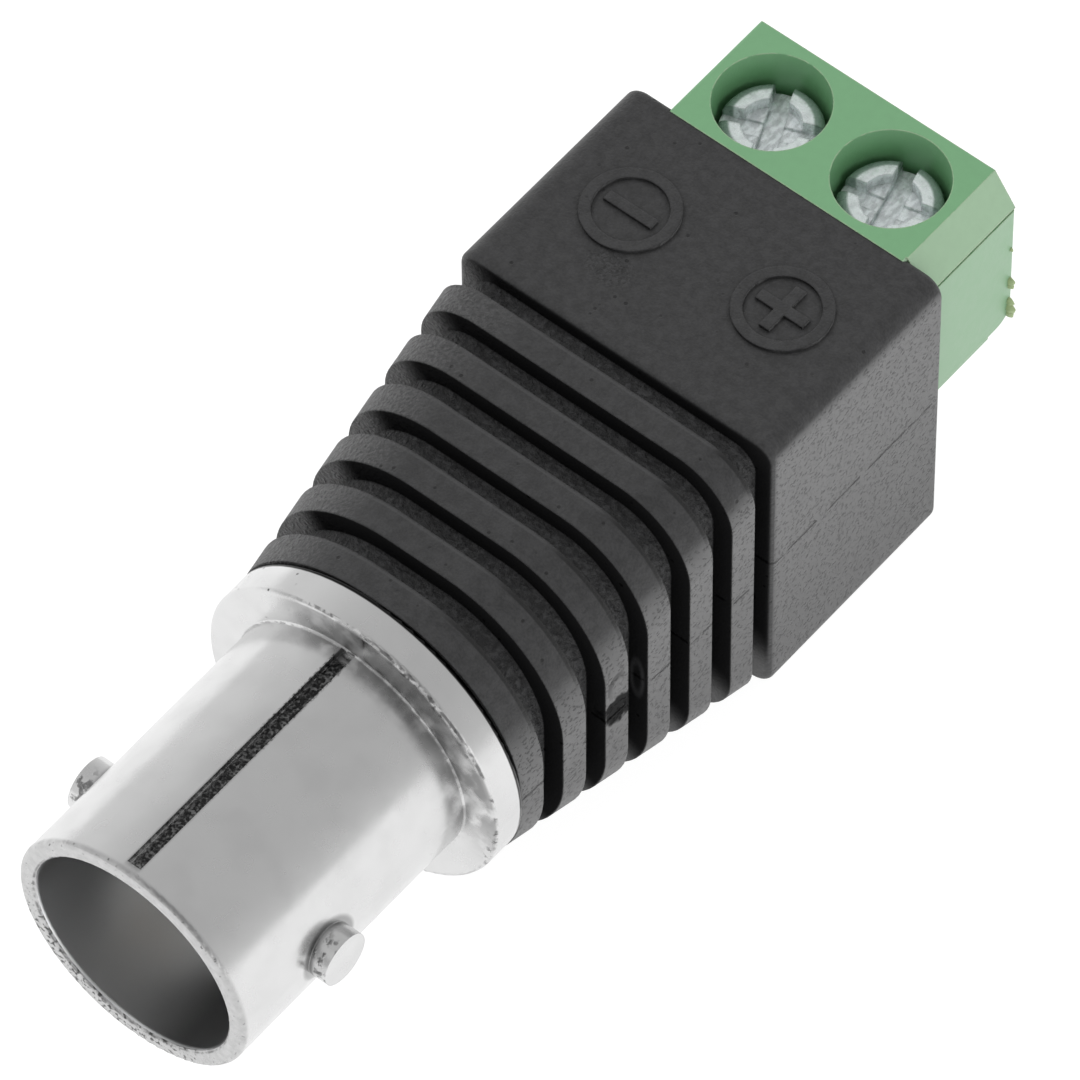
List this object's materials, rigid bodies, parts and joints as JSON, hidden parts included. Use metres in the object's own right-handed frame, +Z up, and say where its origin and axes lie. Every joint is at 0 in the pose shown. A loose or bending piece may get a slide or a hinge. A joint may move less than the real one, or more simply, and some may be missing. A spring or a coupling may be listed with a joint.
{
  "type": "bnc terminal block adapter",
  "caption": "Bayonet coaxial jack moulded to a screw terminal block with a minus and a plus pole.",
  "frame": {"origin": "centre of the jack's mouth, on its axis", "axes": "+Y along the axis from the jack's mouth to the terminals, +Z up, the way the screw heads face, +X towards the plus pole"},
  "size_m": [0.0134, 0.0389, 0.0136],
  "materials": {
    "nickel_plating": "polished nickel plating on a die-casting",
    "dielectric": "matte moulded dielectric",
    "gilt_brass": "bright turned contact",
    "tinned_metal": "tinned strip and wire",
    "black_plastic": "matte black with a fine spark-eroded grain",
    "green_plastic": "satin green moulding",
    "zinc_plating": "bright zinc plating",
    "copper": "bare copper",
    "red_insulation": "satin insulation",
    "grey_insulation": "satin insulation",
    "solder": "smooth solder"
  },
  "bodies": {
    "housing": {"bnc_shell": "nickel_plating", "bnc_insulator": "dielectric", "centre_contact": "gilt_brass", "ground_pin": "tinned_metal", "body_overmould": "black_plastic", "terminal_housing": "green_plastic", "contact_blade_minus": "tinned_metal", "contact_blade_plus": "tinned_metal", "signal_lead": "copper", "ground_lead": "copper", "signal_sleeve": "red_insulation", "ground_sleeve": "grey_insulation", "solder_centre": "solder", "solder_ground": "solder", "solder_plus": "solder", "solder_minus": "solder"},
    "screw_minus": {"clamp_screw_minus": "zinc_plating"},
    "screw_plus": {"clamp_screw_plus": "zinc_plating"},
    "cage_minus": {"clamp_cage_minus": "zinc_plating"},
    "cage_plus": {"clamp_cage_plus": "zinc_plating"}
  },
  "joints": [
    {"name": "screw_minus_turn", "type": "hinge", "parent": "housing", "child": "screw_minus", "pos_m": [-0.00263, 0.0364, 0.00522], "axis": [0, 0, 1], "range_deg": [-1521, 0]},
    {"name": "cage_minus_rise", "type": "slide", "parent": "housing", "child": "cage_minus", "axis": [0, 0, 1], "range_m": [0, 0.0019]},
    {"name": "screw_plus_turn", "type": "hinge", "parent": "housing", "child": "screw_plus", "pos_m": [0.00245, 0.0364, 0.00522], "axis": [0, 0, 1], "range_deg": [-1521, 0]},
    {"name": "cage_plus_rise", "type": "slide", "parent": "housing", "child": "cage_plus", "axis": [0, 0, 1], "range_m": [0, 0.0019]}
  ],
  "couplings": [
    {"joint": "screw_minus_turn", "follows": "cage_minus_rise", "rad_per_m": -13963},
    {"joint": "screw_plus_turn", "follows": "cage_plus_rise", "rad_per_m": -13963}
  ]
}
